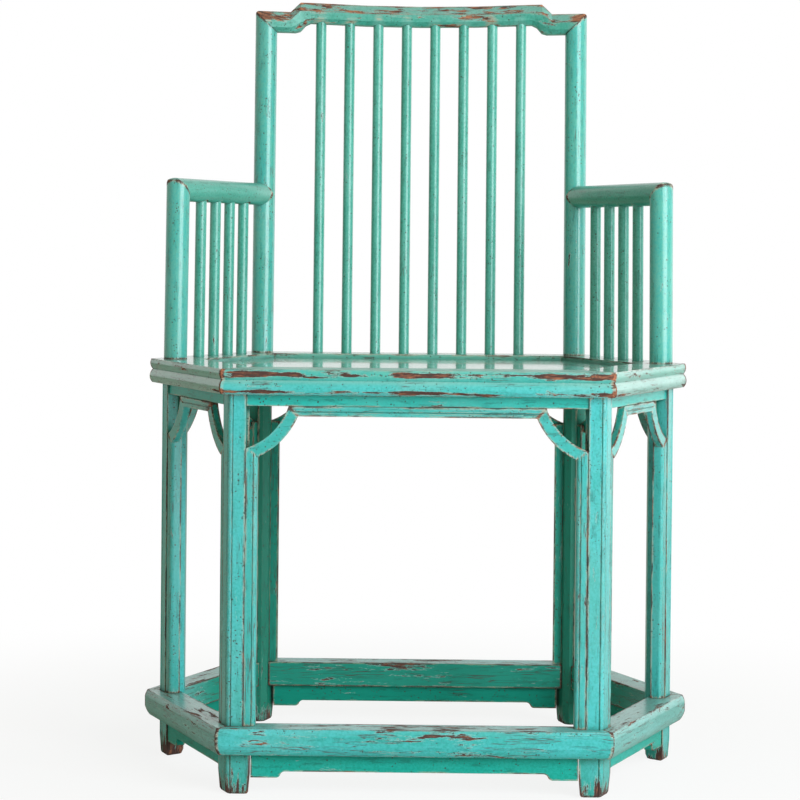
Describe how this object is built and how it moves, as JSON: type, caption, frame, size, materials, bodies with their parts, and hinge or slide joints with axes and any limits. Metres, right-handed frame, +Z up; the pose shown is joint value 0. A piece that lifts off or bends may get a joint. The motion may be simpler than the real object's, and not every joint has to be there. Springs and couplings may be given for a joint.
{
  "type": "comb-back armchair",
  "caption": "Hexagonal comb-back armchair with round posts, straight spindles, a sunken panel seat, braced openings under it and a mitred base ring.",
  "frame": {"origin": "middle of the chair's bounding box, on the floor", "axes": "+Z up, -Y towards the front edge where the sitter's knees are, +X to the chair's right as seen in the picture"},
  "size_m": [0.6832, 0.5327, 0.97],
  "materials": {
    "frame_paint": "worn turquoise lacquer over wood",
    "turned_paint": "worn turquoise lacquer over round rods",
    "panel_paint": "glossy turquoise lacquer",
    "batten_wood": "bare dark wood"
  },
  "bodies": {
    "root": {"back_apron": "frame_paint", "back_base_rail": "frame_paint", "back_left_leg": "frame_paint", "back_liner": "frame_paint", "back_right_leg": "frame_paint", "back_seat_rail": "frame_paint", "back_skirt": "frame_paint", "back_spindle_1": "turned_paint", "back_spindle_2": "turned_paint", "back_spindle_3": "turned_paint", "back_spindle_4": "turned_paint", "back_spindle_5": "turned_paint", "back_spindle_6": "turned_paint", "back_spindle_7": "turned_paint", "back_spindle_8": "turned_paint", "crest_rail": "frame_paint", "front_apron": "frame_paint", "front_base_rail": "frame_paint", "front_left_leg": "frame_paint", "front_liner": "frame_paint", "front_right_leg": "frame_paint", "front_seat_rail": "frame_paint", "front_skirt": "frame_paint", "left_arm_rail": "turned_paint", "left_arm_spindle_1": "turned_paint", "left_arm_spindle_2": "turned_paint", "left_arm_spindle_3": "turned_paint", "left_arm_spindle_4": "turned_paint", "left_back_apron": "frame_paint", "left_back_base_rail": "frame_paint", "left_back_liner": "frame_paint", "left_back_seat_rail": "frame_paint", "left_back_skirt": "frame_paint", "left_front_apron": "frame_paint", "left_front_base_rail": "frame_paint", "left_front_liner": "frame_paint", "left_front_seat_rail": "frame_paint", "left_front_skirt": "frame_paint", "left_seat_batten": "batten_wood", "left_side_leg": "frame_paint", "right_arm_rail": "turned_paint", "right_arm_spindle_1": "turned_paint", "right_arm_spindle_2": "turned_paint", "right_arm_spindle_3": "turned_paint", "right_arm_spindle_4": "turned_paint", "right_back_apron": "frame_paint", "right_back_base_rail": "frame_paint", "right_back_liner": "frame_paint", "right_back_seat_rail": "frame_paint", "right_back_skirt": "frame_paint", "right_front_apron": "frame_paint", "right_front_base_rail": "frame_paint", "right_front_liner": "frame_paint", "right_front_seat_rail": "frame_paint", "right_front_skirt": "frame_paint", "right_seat_batten": "batten_wood", "right_side_leg": "frame_paint", "seat_panel": "panel_paint"}
  },
  "joints": []
}
